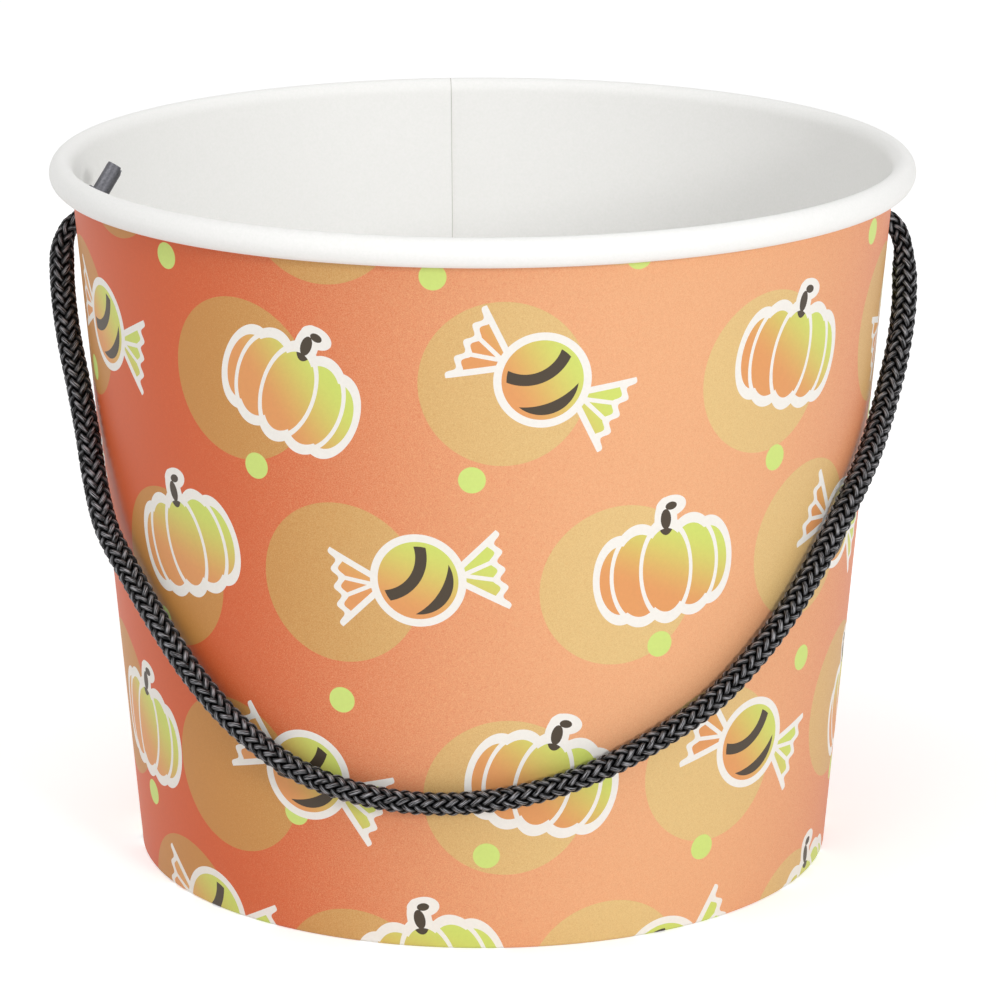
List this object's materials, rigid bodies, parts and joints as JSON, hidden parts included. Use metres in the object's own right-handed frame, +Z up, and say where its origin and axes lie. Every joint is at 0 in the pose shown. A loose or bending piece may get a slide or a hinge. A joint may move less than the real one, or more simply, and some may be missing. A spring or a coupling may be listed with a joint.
{
  "type": "cardboard candy bucket",
  "caption": "Tapered paperboard treat bucket with rolled rim, recessed base disc and a black rope handle held by metal end clips.",
  "frame": {"origin": "centre of the foot ring, on the surface the bucket stands on", "axes": "+Z up along the axis of the tub, -Y towards the front where the handle hangs, X through the two handle holes"},
  "size_m": [0.1816, 0.18, 0.149],
  "materials": {
    "printed_board": "satin",
    "white_board": "matte",
    "black_cord": "satin",
    "dark_steel": "satin"
  },
  "bodies": {
    "tub": {"side_wall": "printed_board", "base_disc": "white_board"},
    "handle": {"rope_loop": "black_cord", "left_end_clip": "dark_steel", "right_end_clip": "dark_steel"},
    "left_end": {"rope_left_end": "black_cord"},
    "right_end": {"rope_right_end": "black_cord"}
  },
  "joints": [
    {"name": "handle_swing", "type": "hinge", "parent": "tub", "child": "handle", "pos_m": [0, 0, 0.1345], "axis": [-1, 0, 0], "range_deg": [0, 142], "deforming": ["rope_loop", "rope_left_end", "rope_right_end"]},
    {"name": "left_end_flex", "type": "slide", "parent": "handle", "child": "left_end", "axis": [-1, 0, 0], "range_m": [0, 0.005]},
    {"name": "right_end_flex", "type": "slide", "parent": "handle", "child": "right_end", "axis": [1, 0, 0], "range_m": [0, 0.005]}
  ],
  "couplings": [
    {"joint": "left_end_flex", "follows": "handle_swing", "m_per_rad": 0.002},
    {"joint": "right_end_flex", "follows": "handle_swing", "m_per_rad": 0.002}
  ]
}
